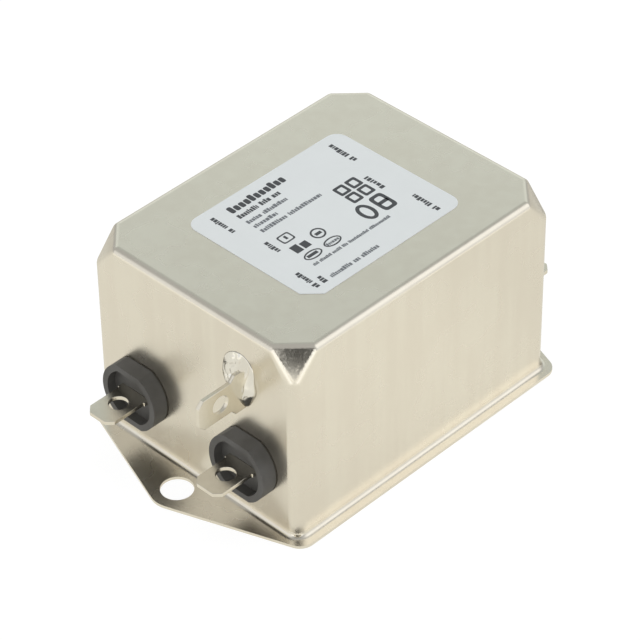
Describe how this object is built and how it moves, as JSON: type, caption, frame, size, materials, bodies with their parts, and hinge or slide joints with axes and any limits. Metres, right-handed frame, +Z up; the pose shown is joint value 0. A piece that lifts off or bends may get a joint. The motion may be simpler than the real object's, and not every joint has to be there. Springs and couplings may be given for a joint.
{
  "type": "EMI line filter",
  "caption": "Mains interference filter in a drawn steel case with faceted corners, flange with screw ears, flat blade terminals in moulded bushings and a soldered earth blade",
  "frame": {"origin": "middle of the case on its mounting face", "axes": "+Z up out of the mounting face, -X towards the line end with the earth blade, +X towards the load end, +Y to the phase side"},
  "size_m": [0.0866, 0.054, 0.0411],
  "materials": {
    "case_steel": "satin nickel-plated drawn steel",
    "cover_steel": "satin plated steel sheet",
    "label_stock": "white printed film, semi-matt",
    "moulded_nylon": "moulded, satin",
    "tinned_brass": "tin-plated brass, satin",
    "solder": "smooth solder, bright",
    "ferrite": "coated ferrite, matt",
    "separator_board": "fibre board, matt",
    "enamelled_copper": "enamelled copper wire, gloss",
    "insulating_board": "pressed board, matt",
    "capacitor_box": "moulded box, satin",
    "disc_coating": "dipped coating, gloss",
    "resistor_coating": "lacquered body, gloss",
    "brown_insulation": "wire insulation, satin",
    "blue_insulation": "wire insulation, satin",
    "green_insulation": "wire insulation, satin",
    "potting_resin": "cast resin, semi-gloss"
  },
  "bodies": {
    "root": {"case": "case_steel", "base_cover": "cover_steel", "insulating_sheet": "insulating_board", "label": "label_stock", "phase_line_bushing": "moulded_nylon", "neutral_line_bushing": "moulded_nylon", "phase_load_bushing": "moulded_nylon", "neutral_load_bushing": "moulded_nylon", "phase_line_tab": "tinned_brass", "neutral_line_tab": "tinned_brass", "phase_load_tab": "tinned_brass", "neutral_load_tab": "tinned_brass", "earth_tab": "tinned_brass", "earth_solder": "solder", "choke_core": "ferrite", "choke_separator": "separator_board", "phase_winding": "enamelled_copper", "neutral_winding": "enamelled_copper", "line_x_capacitor": "capacitor_box", "load_x_capacitor": "capacitor_box", "phase_y_capacitor": "disc_coating", "neutral_y_capacitor": "disc_coating", "bleed_resistor": "resistor_coating", "phase_line_lead": "brown_insulation", "neutral_line_lead": "blue_insulation", "phase_load_lead": "brown_insulation", "neutral_load_lead": "blue_insulation", "earth_wire": "green_insulation", "potting_compound": "potting_resin"}
  },
  "joints": []
}
